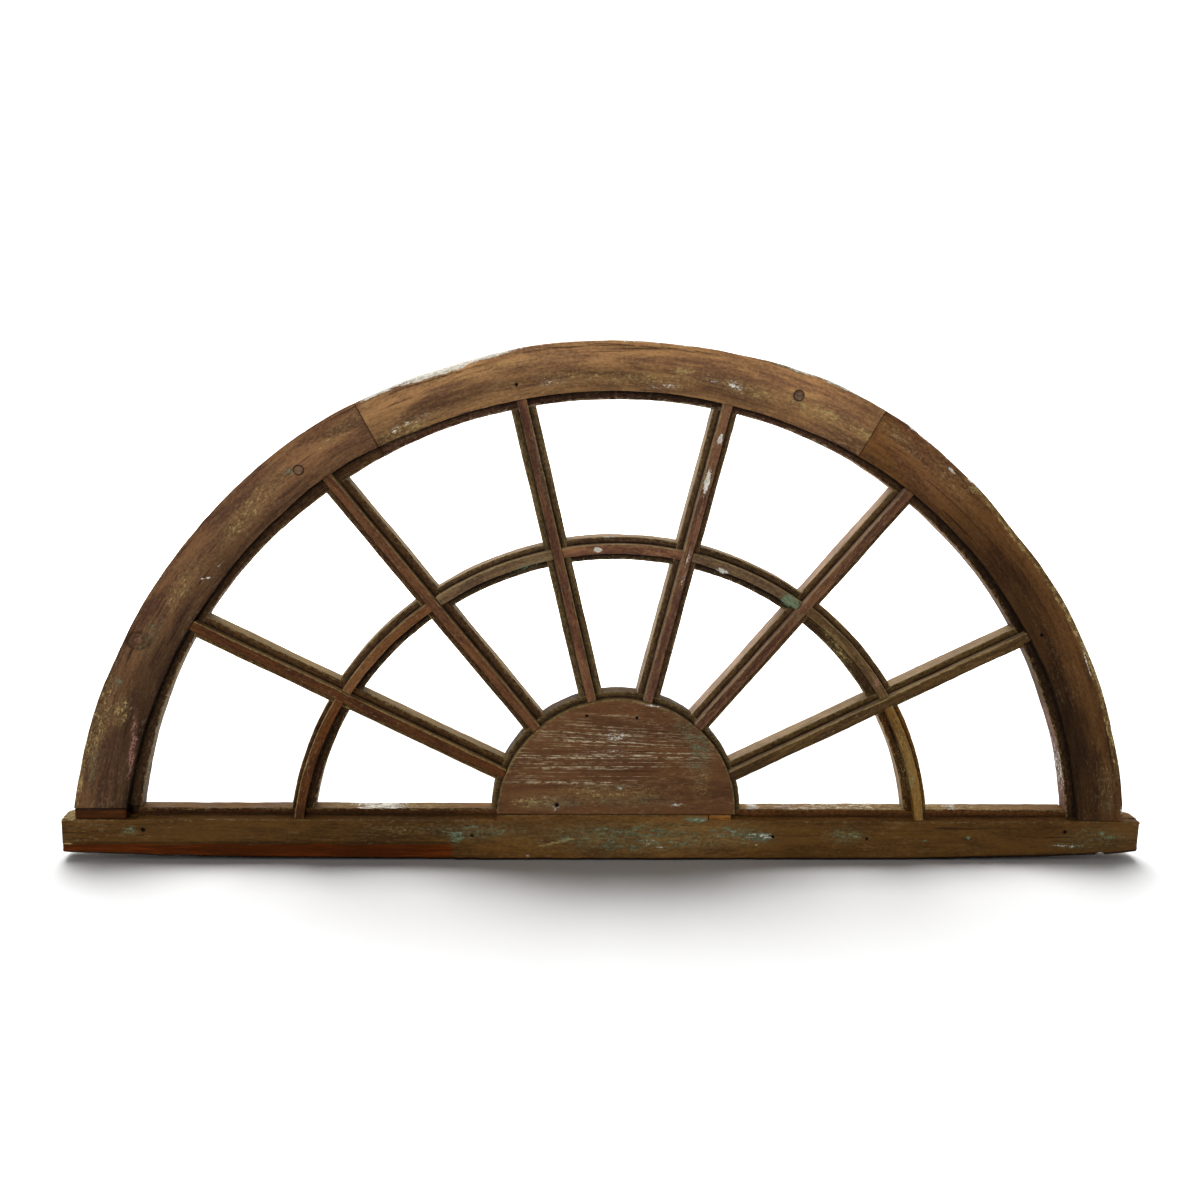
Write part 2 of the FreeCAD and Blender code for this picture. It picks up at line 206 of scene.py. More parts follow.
def closed_piece(name, shells, timber):
    """One object from swept shells: quads from ring to ring round every shell, one flat face at each end,
    turned outwards by the sign of the volume, and a number at every vertex for each kind of mark."""
    verts, faces, flat, base = [], [], [], 0
    for places, marks in shells:
        rings, around = places.shape[:2]
        index = base + np.arange(rings * around).reshape(rings, around)
        quads = np.stack([index[:-1], np.roll(index[:-1], -1, 1), np.roll(index[1:], -1, 1), index[1:]], -1)
        ends = [index[0][::-1], index[-1]]
        points = places.reshape(-1, 3)
        corner = points[quads.reshape(-1, 4) - base]
        spin = np.cross(corner[:, 2] - corner[:, 0], corner[:, 3] - corner[:, 1])
        volume = (corner.mean(1) * spin).sum()
        for end in ends:
            rim = points[end - base]
            volume += (rim.mean(0) * np.cross(rim, np.roll(rim, -1, 0)).sum(0)).sum()
        turn = 1 if volume > 0 else -1
        faces += quads.reshape(-1, 4)[:, ::turn].tolist() + [end[::turn].tolist() for end in ends]
        flat += [False] * (quads.size // 4) + [True, True]
        verts.append(points)
        base += len(points)
    mesh = bpy.data.meshes.new(name)
    mesh.from_pydata(np.concatenate(verts), [], faces)
    mesh.polygons.foreach_set("use_smooth", ~np.array(flat))
    lie = np.concatenate([marks["lie"].reshape(-1, 3) for places, marks in shells])
    layer = mesh.attributes.new("lie", "FLOAT_VECTOR", "POINT")
    layer.data.foreach_set("vector", lie.astype(np.float32).ravel())
    for kind in ("arris", "crease", "bed", "side", "bare", "white", "green", "ochre", "pink", "dark", "score",
                 "tone"):
        layer = mesh.attributes.new(kind, "FLOAT", "POINT")
        worth = [np.broadcast_to(marks.get(kind, 0.0), places.shape[:2]).ravel() for places, marks in shells]
        layer.data.foreach_set("value", np.concatenate(worth).astype(np.float32))
    mesh.materials.append(timber)
    piece = bpy.data.objects.new(name, mesh)
    bpy.context.scene.collection.objects.link(piece)
    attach(piece, "root")
    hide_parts(name.removesuffix("_worn"))


class Tone:
    """A number that changes over a surface. It wraps a shader socket, and sums, differences and products of
    tones and plain numbers add their Math nodes."""

    def __init__(self, finish, socket):
        self.finish, self.socket = finish, socket

    def math(self, operation, first, second, clamp=False):
        inputs = {i: value.socket if isinstance(value, Tone) else value
                  for i, value in enumerate((first, second))}
        settings = {"operation": operation, "use_clamp": clamp}
        return Tone(self.finish, self.finish.add("ShaderNodeMath", settings, inputs).outputs[0])

    def __add__(self, other):
        return self.math("ADD", self, other)

    def __radd__(self, other):
        return self.math("ADD", other, self)

    def __sub__(self, other):
        return self.math("SUBTRACT", self, other)

    def __rsub__(self, other):
        return self.math("SUBTRACT", other, self)

    def __mul__(self, other):
        return self.math("MULTIPLY", self, other)

    def __rmul__(self, other):
        return self.math("MULTIPLY", other, self)

    def most(self, other):
        return self.math("MAXIMUM", self, other)

    def held(self):
        return self.math("ADD", self, 0.0, True)

    def between(self, low, high):
        """0 below low, 1 above high, smooth between."""
        settings = {"interpolation_type": "SMOOTHSTEP"}
        inputs = {"Value": self.socket, "From Min": low, "From Max": high}
        return Tone(self.finish, self.finish.add("ShaderNodeMapRange", settings, inputs).outputs[0])


class Finish:
    """A finish being mixed for one piece: its material and the nodes in it."""

    def __init__(self, name):
        self.material = bpy.data.materials.new(name)
        self.material.use_nodes = True
        self.tree = self.material.node_tree
        self.tree.nodes.clear()

    def add(self, kind, settings=None, inputs=None):
        """A node of this kind, with its settings first and then a value or a link for each socket named."""
        node = self.tree.nodes.new(kind)
        for key, value in (settings or {}).items():
            setattr(node, key, value)
        for key, value in (inputs or {}).items():
            if isinstance(value, bpy.types.NodeSocket):
                self.tree.links.new(value, node.inputs[key])
            else:
                node.inputs[key].default_value = value
        return node

    def mark(self, kind):
        """The mark of this kind that the mesh carries at every vertex."""
        return Tone(self, self.add("ShaderNodeAttribute", {"attribute_name": kind}).outputs["Fac"])

    def blend(self, under, over, share):
        """The colour under, covered by the colour over where the share says."""
        def colour(value):
            return value if isinstance(value, bpy.types.NodeSocket) else (*value, 1.0)
        inputs = {0: share.socket, 6: colour(under), 7: colour(over)}
        return self.add("ShaderNodeMix", {"data_type": "RGBA"}, inputs).outputs[2]

    def scaled(self, colour, share):
        """The colour, lighter or darker by the share."""
        inputs = {0: colour, "Scale": share.socket}
        return self.add("ShaderNodeVectorMath", {"operation": "SCALE"}, inputs).outputs[0]


def weathered_timber(name, face, bed, side, arris, bare=(0.1, 0.03, 0.01), scuffs=0.35, holes=(),
                     lift=(0.0, 0.0, 0.0), gloss=0.04, streak=1.0):
    """Old timber whose grain follows the piece. Long stretched noise gives bands, fibres and pores between a
    deep and a golden shade of the face's colour, as far apart as the streak says, dirt, and pale scuffs along
    the grain. The mesh's marks bring glazing beds dark with dirt and painted shade, sides, worn arrises
    (on the bars' upper edges partly a painted highlight), bare splits, rows of scratches, a thin veil or
    flakes of paint, and a tone that lightens or darkens by its share. Creases and dark marks go near black,
    partly as dirt, cracks, knots and joints and partly as painted shade. holes are dark discs of painted
    shade in the face, with x, z and radius in mm."""
    wood = Finish(name)
    spot = wood.add("ShaderNodeTexCoord").outputs["Object"]
    lie = wood.add("ShaderNodeAttribute", {"attribute_name": "lie"}).outputs["Vector"]
    lying = wood.add("ShaderNodeMapping", None, {"Vector": lie, "Location": lift}).outputs[0]

    def figure(along, across, detail=3.0, rough=0.6, bend=0.0):
        shape = {"Vector": lying, "Scale": (along, across, across)}
        drawn = wood.add("ShaderNodeMapping", None, shape).outputs[0]
        inputs = {"Vector": drawn, "Scale": 1.0, "Detail": detail, "Roughness": rough, "Distortion": bend}
        return Tone(wood, wood.add("ShaderNodeTexNoise", None, inputs).outputs[0])

    def shade(colour, *parts):
        return tuple(base * part for base, part in zip(colour, parts))

    broad = figure(5, 24, 3.0, 0.6, 1.2).between(0.36, 0.64)
    band = figure(9, 85, 4.0, 0.65, 0.8).between(0.36, 0.64)
    fibre = figure(18, 320, 3.0, 0.65).between(0.32, 0.68)
    speck = figure(210, 430, 3.0, 0.7).between(0.36, 0.64)
    pore = figure(38, 430, 2.0).between(0.6, 0.68)
    grime = figure(30, 48, 5.0, 0.75)
    tatter = (figure(90, 380, 4.0, 0.75) * 0.6 + figure(420, 520, 3.0, 0.7) * 0.4 - 0.5) * 3.2
    dash = figure(150, 500, 2.0, 0.5).between(0.58, 0.65) * figure(10, 24, 2.0).between(0.44, 0.58)
    row = figure(3.0, 640, 2.0, 0.5, 0.15).between(0.55, 0.61) * figure(70, 360, 3.0, 0.7).between(0.42, 0.56)
    crack = figure(9, 300, 2.0, 0.5, 0.5).between(0.67, 0.71)

    in_bed, at_side, inside = wood.mark("bed"), wood.mark("side"), wood.mark("crease")
    worn, score = wood.mark("arris"), wood.mark("score")
    figured = (broad * 0.36 + band * 0.2 + fibre * 0.2 + speck * 0.24).between(0.1, 0.9)
    deep = [1 - streak * part for part in (0.5, 0.54, 0.45)]
    golden = [1 + streak * part for part in (0.5, 0.5, 0.35)]
    colour = wood.blend(shade(face, *deep), shade(face, *golden), figured)
    colour = wood.blend(colour, shade(face, 0.25, 0.22, 0.27), (pore * 0.35).most(crack * 0.75))
    colour = wood.blend(colour, shade(face, 0.4, 0.35, 0.45), grime.between(0.52, 0.72) * 0.45 * streak)
    colour = wood.blend(colour, wood.blend(shade(side, 0.5, 0.46, 0.42), shade(side, 1.25, 1.25, 1.25),
                                           grime.between(0.34, 0.62) * 0.5 + fibre * 0.25 + speck * 0.25),
                        at_side * 0.9)
    colour = wood.blend(colour, wood.blend(shade(bed, 0.4, 0.36, 0.36), shade(bed, 1.7, 1.7, 1.6),
                                           fibre * 0.4 + speck * 0.6), in_bed)
    colour = wood.scaled(colour, wood.mark("tone") + 1)
    pale = tuple(0.9 * part + 0.13 * top for part, top in zip(face, (1, 0.85, 0.5)))
    colour = wood.blend(colour, pale, dash * scuffs * (1 - in_bed))
    colour = wood.blend(colour, (0.5, 0.42, 0.27), row * score.between(0.2, 0.8) * (0.35 + speck * 0.6))
    # Creases and dark marks go near black: partly dirt, cracks, knots and joints, and partly painted shade in
    # the glazing corners, beside and under the bar noses and along the rail's foot.
    soil_and_shade = ((inside * 0.95 + wood.mark("dark")) * (0.45 + grime.between(0.25, 0.5) * 0.55)).held()
    colour = wood.blend(colour, (0.007, 0.004, 0.0025), soil_and_shade)
    flake = in_bed * figure(150, 300, 3.0).between(0.57, 0.64) * (0.12 + worn * 0.9)
    colour = wood.blend(colour, shade(arris, 0.8, 0.8, 0.7), flake.held())
    # The arris mark pales worn edges, and on the bars' upper edges part of it is a painted highlight.
    rubbed = ((worn - 0.6) * 3.0 + tatter * 2.4).held() * 0.8
    colour = wood.blend(colour, wood.blend(shade(arris, 0.6, 0.55, 0.5), shade(arris, 1.3, 1.3, 1.3), speck),
                        rubbed)
    torn = ((wood.mark("bare") - 0.5) * 2.6 + tatter * 1.2).held()
    colour = wood.blend(colour, wood.blend(bare, shade(bare, 2.6, 2.4, 2.2), band * fibre), torn)
    paints = {"ochre": (0.34, 0.25, 0.1), "green": (0.12, 0.165, 0.1), "pink": (0.26, 0.13, 0.1),
              "white": (0.66, 0.65, 0.58)}
    cover = None
    for kind, tint in paints.items():
        left = wood.mark(kind)
        share = ((left - 0.52) * 9.0 + tatter * 7.0).held() * 0.82
        share = share.most((left - 0.16).held() * (0.12 + speck * 0.36) * (0.2 if kind == "white" else 1.0))
        flaked = wood.blend(shade(tint, 0.7, 0.68, 0.65), shade(tint, 1.2, 1.2, 1.2), speck)
        colour = wood.blend(colour, flaked, share)
        cover = share if cover is None else cover.most(share)
    height = fibre * 0.2 + band * 0.12 - pore * 0.2 - crack * 0.3 - soil_and_shade * 0.5 + cover * 0.25 + speck * 0.25
    flat = wood.add("ShaderNodeVectorMath", {"operation": "MULTIPLY"}, {0: spot, 1: (1, 0.15, 1)}).outputs[0]
    # Each nail hole, and the thin gap left round each peg, is a near-black disc of painted shade.
    for x, z, size in holes:
        inputs = {0: flat, 1: (x / 1000, -0.0025, z / 1000)}
        gap = Tone(wood, wood.add("ShaderNodeVectorMath", {"operation": "DISTANCE"}, inputs).outputs["Value"])
        hole = 1 - gap.between(size / 1000 - 0.0003, size / 1000 + 0.0006)
        colour = wood.blend(colour, (0.004, 0.003, 0.002), hole)
        height = height - hole
    rough = 0.5 + grime.between(0.3, 0.7) * 0.2 + in_bed * 0.12 + torn * 0.1 - pore * 0.05
    bump = wood.add("ShaderNodeBump", None, {"Height": height.socket, "Strength": 0.7, "Distance": 0.0013})
    shader = wood.add("ShaderNodeBsdfPrincipled", None, {
        "Base Color": colour, "Roughness": rough.socket, "Normal": bump.outputs[0],
        "Specular IOR Level": gloss})
    wood.add("ShaderNodeOutputMaterial", None, {"Surface": shader.outputs[0]})
    return wood.material


rail_nail_holes = [(-522, 35.2, 2.2), (-160.3, 28.6, 1.6), (181.2, 27.8, 1.8), (290.1, 25.5, 1.6),
                   (521.7, 34.3, 2.0)]
front_y, bed_y, lap_y, mould_y, back_y = -0.017, -0.007, 0.003, 0.014, 0.017
rail_end, end_round = 0.610, 0.014
feet, seat = (-0.5283, 0.5243), (-0.1324, 0.1058)
rail_x = spread(-rail_end, rail_end, 0.0024, feet + seat)
underside = np.interp(rail_x * 1000, [-610, -505, -417, -196, -129, 191, 338, 424, 507, 578, 610],
                      [8.2, 4.4, 2.2, 0.4, 0.1, 0.1, 0.5, 2.5, 4.6, 6.8, 10.6]) / 1000
notch = 0.0032 * np.exp(-((rail_x - 0.566) / 0.0042) ** 4)
on_seat = (rail_x > seat[0]) & (rail_x < seat[1])
in_feet = (rail_x > feet[0]) & (rail_x < feet[1])
sag = eased(rail_x, [-0.61, 0.134, 0.16, 0.45, 0.52, 0.61], [0, 0, 0.0018, 0.0018, 0.0006, 0])
front_top = np.where(on_seat, 0.0536, np.where(in_feet, 0.0476 - sag, 0.0472))
ledge_front, ledge_back = np.where(in_feet, 0.0576, 0.0476), np.where(in_feet, 0.0561, 0.0476)
floor_rise = np.where(in_feet & ~on_seat, 0.0028 + 0.5 * sag, 0)
plan_gap = np.maximum(end_round - (rail_end - np.abs(rail_x)), 0)
back = back_y - end_round + np.sqrt(end_round ** 2 - plan_gap ** 2)
wear = np.maximum(wander_along(rail_x, 0.05, 3), 0)
rail = worn_section(
    [(underside + notch, front_y), (front_top, front_y), (front_top + floor_rise, bed_y),
     (ledge_front, bed_y), (ledge_back, back), (underside, back)],
    [0.0009 + 0.0012 * wear, 0.0008 + 0.0014 * wear, 0.0006, 0.0008 + 0.0008 * wear, 0.0015, 0.0015],
    [(26, 0, 0), (6, 0.4, 0), (5, 1, 0), (12, 0, 1), (14, 0, 0), (12, 0, 0)], len(rail_x),
    [0.3, 0.62, 0, 0.75, 0.5, 0.3], 0.0016)


def level(along, across, depth):
    """Straight along X, with the section upright in it."""
    return np.stack([along, depth, across], -1)


def rail_split(places, soft):
    """1 where the splinter has come off: below a wavering line at the lower left of the front face."""
    x, z = places[..., 0], places[..., 2]
    top = 0.0192 + 0.0012 * wander(places, (0.06, 1, 1), 21)
    end = -0.179 + 0.006 * wander(places, (1, 1, 0.006), 22)
    return rise(top - z, -soft, soft) * rise(end - x, 0, 0.004) * (places[..., 1] < -0.012)


def rail_relief(places):
    """Saw and wear unevenness, nail holes, and the splinter's bed 1.3 mm under the face."""
    return (0.00045 * wander(places, (0.16, 0.03, 0.03), 11)
            + 0.0002 * wander(places, (0.03, 0.012, 0.012), 12)
            + pitted(places, rail_nail_holes) - 0.0013 * rail_split(places, 0.0016))


places, marks = swept(rail, rail_x[:, None], level, rail_x, (0.0014, 0.0028), rail_relief)
x, y, z = np.moveaxis(places, -1, 0)
on_ledge = (z > 0.0535) & (y > -0.0068)
above = z - underside[:, None]
marks["crease"] = 0.55 * marks["crease"]
marks["bare"] = rail_split(places, 0.0024) * rise(above, 0.0012, 0.003)
# dark draws a darker line along the splinter's top edge, and turns the bottom 3 mm of the front face near
# black as a painted contact shadow.
marks["dark"] = np.maximum(0.5 * np.exp(-((z - 0.0203) / 0.0011) ** 2) * (x < -0.18) * (y < -0.012),
                           1.8 * (y < -0.013) * (1 - rise(above, 0.0008, 0.0032)))
marks["green"] = daub(places, [
    (-537, 34, 9, 6.5, 0, 0.6), (-177, 29, 10, 10, 0, 0.66), (167, 27, 15, 8, 0, 0.66),
    (92, 48.5, 13, 3, -3, 1.1), (357, 23, 3.5, 2.3, 0, 0.8), (408, 27, 3.5, 2.3, 0, 0.8),
    (565, 32, 3.6, 3, 0, 0.9), (576, 28, 3, 2.4, 0, 0.9), (30, 28, 150, 22, 0, 0.52),
    (140, 32, 42, 13, 0, 0.56), (-150, 34, 60, 12, 0, 0.5), (560, 26, 50, 18, 0, 0.4),
    (265, 30, 28, 12, 0, 0.5), (20, 33, 40, 10, 0, 0.52), (60, 20, 30, 8, 0, 0.5), (535, 17, 30, 5, -3, 0.5)])
marks["ochre"] = daub(places, [
    (272, 30, 12, 7, 0, 0.4), (-62, 22, 27, 1.3, 13, 1.0), (-230, 36, 60, 6, 0, 0.36),
    (90, 24, 80, 9, 0, 0.44), (-20, 30, 60, 12, 0, 0.42), (-604, 19, 5, 1.2, 0, 1.1)])
marks["ochre"] = np.maximum(marks["ochre"], on_ledge * daub(places, [(300, 57, 190, 40, 0, 0.55),
                                                                     (-250, 57, 90, 40, 0, 0.5)], 0.02))
marks["ochre"] = np.maximum(marks["ochre"],
                            np.where(x < -0.594, 0.62, 0.3) * (np.abs(x) > 0.594) * (z > 0.0455))
marks["white"] = np.maximum(
    daub(places, [(523, 17, 24, 1.5, -4, 0.6), (52, 16, 6, 1.5, 0, 0.6), (-97, 5, 2.3, 1.8, 0, 0.8),
                  (169, 29, 9, 3.5, 0, 0.5), (-171, 31, 8, 5, 0, 0.42), (165, 27, 22, 9, 0, 0.4),
                  (97, 47.6, 8, 1.4, -6, 0.62), (125, 33, 24, 6, 0, 0.36), (40, 22, 14, 5, 30, 0.4)]),
    on_ledge * daub(places, [(-262, 57, 32, 40, 0, 0.66), (249, 57, 85, 40, 0, 0.42),
                             (159, 57, 9, 40, 0, 0.66), (390, 57, 9, 40, 0, 0.52)], 0.02))
marks["pink"] = np.maximum(daub(places, [(-75, 5, 4.5, 1.8, 0, 0.7)]),
                           on_ledge * daub(places, [(215, 57, 40, 40, 0, 0.42)], 0.02))
marks["tone"] = eased(x, [-0.61, -0.2, -0.12, 0.1, 0.2, 0.45, 0.6], [-0.15, -0.1, 0.7, 0.9, 0.12, 0.02, 0]) \
    + rail["bed"] * eased(x, [-0.61, -0.12, 0.15, 0.61], [-0.2, -0.1, 0.35, 0.35])
rail_timber = weathered_timber(
    "rail_timber", face=(0.074, 0.035, 0.0088), bed=(0.048, 0.018, 0.005), side=(0.13, 0.06, 0.0125),
    arris=(0.14, 0.1, 0.045), bare=(0.05, 0.0112, 0.0015), scuffs=0.25, holes=rail_nail_holes, streak=0.75)
closed_piece("bottom_rail_worn", [end_grain(places, marks)], rail_timber)


# Foot slip
# A thin packing slip of bare red-brown timber, tapped in under the front half of the left foot to bring
# the arch up to the rail.
slip_x = spread(-0.5945, -0.5392, 0.0015)
slip = worn_section([(0.0478, -0.0164), (0.0597, -0.0170), (0.0597, 0.0028), (0.0478, 0.0028)],
                    [0.0016, 0.0008, 0.0005, 0.0005], [(8, 0, 0), (10, 0, 0), (6, 0, 0), (10, 0, 0)],
                    len(slip_x), [0.3, 0.3, 0.2, 0.2])


def slip_relief(places):
    """Split rather than sawn, so the faces run uneven along the grain."""
    return 0.0003 * wander(places, (0.02, 0.006, 0.004), 31)


places, marks = swept(slip, slip_x[:, None], level, slip_x, (0.0008, 0.0042), slip_relief)
marks["bare"] = 0.85 * (places[..., 2] < 0.0585)
marks["dark"] = rise(places[..., 2], 0.0578, 0.0595)
slip_timber = weathered_timber(
    "slip_timber", face=(0.055, 0.018, 0.004), bed=(0.03, 0.012, 0.005), side=(0.1, 0.05, 0.02),
    arris=(0.1, 0.045, 0.018), bare=(0.029, 0.0088, 0.0014), lift=(0.3, 0.1, 0.7))
closed_piece("foot_slip_worn", [(places, marks)], slip_timber)


# Arch
# Three segments sawn from straight planks, each halved over the next by fifteen degrees and pegged. The
# front has a flat face with a glazing rebate inside it, the room side a small sloped moulding.
arch_x, arch_z = -0.002, -0.011
outer_r, face_r, ledge_r, mould_r = 0.5913, 0.5373, 0.5293, 0.5323
arch_nail_holes = {"arch_crown": [(-117.2, 530.7, 1.5)], "arch_right": [(472.9, 267.2, 1.8)]}
arch_knots = {"arch_left": [(-518, 250, 12, 9)]}
peg_rings = {"arch_crown": [(183.5, 526.0, 5.9)], "arch_left": [(-345.1, 436.4, 5.4)]}


def outer_edge(turn):
    """Radius of the hand-sawn outer edge at each angle, in and out by a few millimetres."""
    return outer_r + eased(turn, [5, 10, 18, 30, 37, 42, 48, 54, 59, 68, 73, 79, 86, 100, 108, 115, 124, 140,
                                  154, 163, 168, 174],
                           [2.4, 2.2, 0, -1.8, -3.6, -5.6, -3.2, -0.9, 1.9, 3.6, 1.6, -0.7, -1.7, -1.2, -3.2,
                            -0.9, 1.5, 0.5, 0.9, 3.8, 4.6, 6.6]) / 1000


def inner_edge(turn):
    """How far the pane edge wavers from its circle at each angle."""
    return eased(turn, [4, 12, 23, 36, 52, 62, 71, 90, 104, 112, 126, 143, 154, 160, 170, 176],
                 [1.6, 1.0, -1.2, -1.0, -1.4, 0.4, 0.2, -1.4, -1.2, -1.6, -2.2, -0.6, -0.6, -1.0, -2.0,
                  -1.5]) / 1000


def face_edge(turn):
    """How far the inner edge of the front face wavers from its circle at each angle."""
    return eased(turn, [4, 12, 23, 34, 46, 58, 71, 90, 104, 112, 126, 134, 145, 154, 160, 166, 174],
                 [4.0, 3.2, 2.4, -0.4, 0, 0.6, -0.3, 0.1, 0.2, 0.8, 4.4, 2.4, 0.4, 1.0, 1.6, 2.6, 4.2]) / 1000


def rim_bevel(turn):
    """How far the outer front edge has been knocked back at each angle."""
    return eased(turn, [4, 30, 46, 58, 64, 72, 80, 100, 104, 107, 113, 117, 119, 150, 176],
                 [1.2, 1.4, 0.8, 1.0, 2.4, 1.6, 0.6, 1.0, 3.0, 5.2, 4.6, 1.8, 0.6, 0.6, 1.4]) / 1000


def arch_piece(name, front_span, back_span, grain, seed, tone, bed_tone, **colours):
    """One segment. Its section is the whole one where front and back halves both run, and only the front or
    the back half in a lap. Rings stand square to the arch above and lie level by the foot. tone and bed_tone
    are angles and how much lighter the face and the bed are there."""
    nail_holes = arch_nail_holes.get(name, [])
    low, high = min(front_span[0], back_span[0]), max(front_span[1], back_span[1])
    steps = [turn for turn in (*front_span, *back_span) if low < turn < high]
    run = spread(np.radians(low) * outer_r, np.radians(high) * outer_r, 0.0021,
                 [np.radians(step) * outer_r for step in steps])
    turn = np.degrees(run / outer_r)
    in_front = (turn > front_span[0] - 1e-6) & (turn < front_span[1] + 1e-6)
    in_back = (turn > back_span[0] - 1e-6) & (turn < back_span[1] + 1e-6)
    outer, ledge, face = outer_edge(turn), ledge_r + inner_edge(turn), face_r + face_edge(turn)
    chip = np.maximum(wander_along(run, 0.06, seed) - 0.15, 0) \
        + np.maximum(wander_along(run, 0.017, seed + 1), 0.2) * 0.5
    only_back = in_back & ~in_front
    front = np.where(in_front, front_y, lap_y)
    # The rebate's wall and bed take the dark bed colour, partly old putty stain and partly painted shade
    # under the face.
    section = worn_section(
        [(outer, front),
         (face, front),
         (face - np.where(only_back, 0.0006, 0), np.where(only_back, lap_y + 0.0001, bed_y)),
         (ledge, np.where(only_back, lap_y + 0.0002, bed_y)),
         (ledge, np.where(in_back, mould_y, lap_y - 0.0003)),
         (ledge + mould_r - ledge_r, np.where(in_back, back_y, lap_y)),
         (outer, np.where(in_back, back_y, lap_y))],
        [rim_bevel(turn) + 0.0012 * chip, 0.0005 + 0.0004 * chip, 0.0006, 0.0007, 0.0006, 0.0008, 0.0008],
        [(40, 0, 0), (6, 0.95, 0), (6, 1, 0), (8, 0.1, 1), (4, 0, 0.25), (20, 0, 0), (16, 0, 0)], len(turn),
        [0.52, 0.0, 0, 0.8, 0.4, 0.4, 0.4])

    def bent(along, across, depth):
        """Angle along the outer edge, turned level with the rail near the feet, then out by the radius."""
        from_foot = np.minimum(along, 180 - along)
        level_turn = np.degrees(np.arcsin(np.minimum(outer_r * np.sin(np.radians(from_foot)) / across, 1)))
        angle = from_foot + (level_turn - from_foot) * (1 - rise(from_foot, 10, 26))
        angle = np.radians(np.where(along > 90, 180 - angle, angle))
        return np.stack([arch_x + across * np.cos(angle), depth, arch_z + across * np.sin(angle)], -1)

    def relief(places):
        """Plane and wear unevenness that follows the grain, and nail holes."""
        cos, sin = np.cos(np.radians(grain)), np.sin(np.radians(grain))
        x, y, z = np.moveaxis(places, -1, 0)
        lying = np.stack([x * cos + z * sin, y, z * cos - x * sin], -1)
        return (0.0005 * wander(lying, (0.14, 0.03, 0.03), seed + 2)
                + 0.0002 * wander(lying, (0.03, 0.012, 0.01), seed + 3)
                + pitted(places, nail_holes))

    places, marks = swept(section, turn[:, None], bent, run, (0.0005, 0.0005), relief)
    for kind, spots in arch_marks[name].items():
        marks[kind] = daub(places, spots)
    for x, z, long, wide in arch_knots.get(name, []):
        round_it = np.hypot((places[..., 0] * 1000 - x) / long, (places[..., 2] * 1000 - z) / wide)
        rings = 0.75 * np.exp(-((round_it - 1) / 0.16) ** 2) + 0.6 * np.exp(-((round_it - 0.5) / 0.2) ** 2)
        marks["dark"] = np.maximum(marks["dark"], rings * (places[..., 1] < -0.012))
    inside = outer[:, None] - section["across"] + 0.001 * wander_along(run, 0.02, seed + 4)[:, None]
    tattered = section["depth"] + 0.007 * wander(places, (0.03, 0.012, 0.03), seed + 6)
    for kind, first, last, shallow, deep, strength in rim_marks[name]:
        band = (1 - rise(inside, deep - 0.001, deep + 0.0012)) * (1 - rise(tattered, -0.012, 0.006))
        if shallow > 0:
            band = band * rise(inside, shallow - 0.0006, shallow + 0.0002)
        band = band * (rise(turn, first - 3, first + 3) * (1 - rise(turn, last - 3, last + 3)))[:, None]
        marks[kind] = np.maximum(marks.get(kind, 0), strength * band)
    drift = section["across"] + 0.008 * wander_along(run, 0.16, seed + 5)[:, None]
    on_face = eased(turn, *tone)[:, None] + 0.6 * rise(drift, 0.546, 0.578) - 0.32
    marks["tone"] = np.where(section["bed"] > 0.9, eased(turn, *bed_tone)[:, None], on_face)
    joint = np.minimum(*(np.abs(run[:, None] - np.radians(edge) * outer_r) for edge in front_span))
    for kind, first, last, strength in side_marks.get(name, []):
        band = strength * (rise(turn, first - 3, first + 3) * (1 - rise(turn, last - 3, last + 3)))[:, None]
        marks[kind] = np.maximum(marks.get(kind, 0), band * (section["side"] > 0.9))
    on_joint = 0.4 * np.exp(-(joint / 0.0004) ** 2) * (places[..., 1] < -0.0165)
    marks["dark"] = np.maximum(marks.get("dark", 0), on_joint)
    timber = weathered_timber(name + "_timber", holes=nail_holes + peg_rings.get(name, []),
                              lift=(seed * 0.37, seed * 0.11, seed * 0.53), **colours)
    closed_piece(name + "_worn", [(places, marks)], timber)


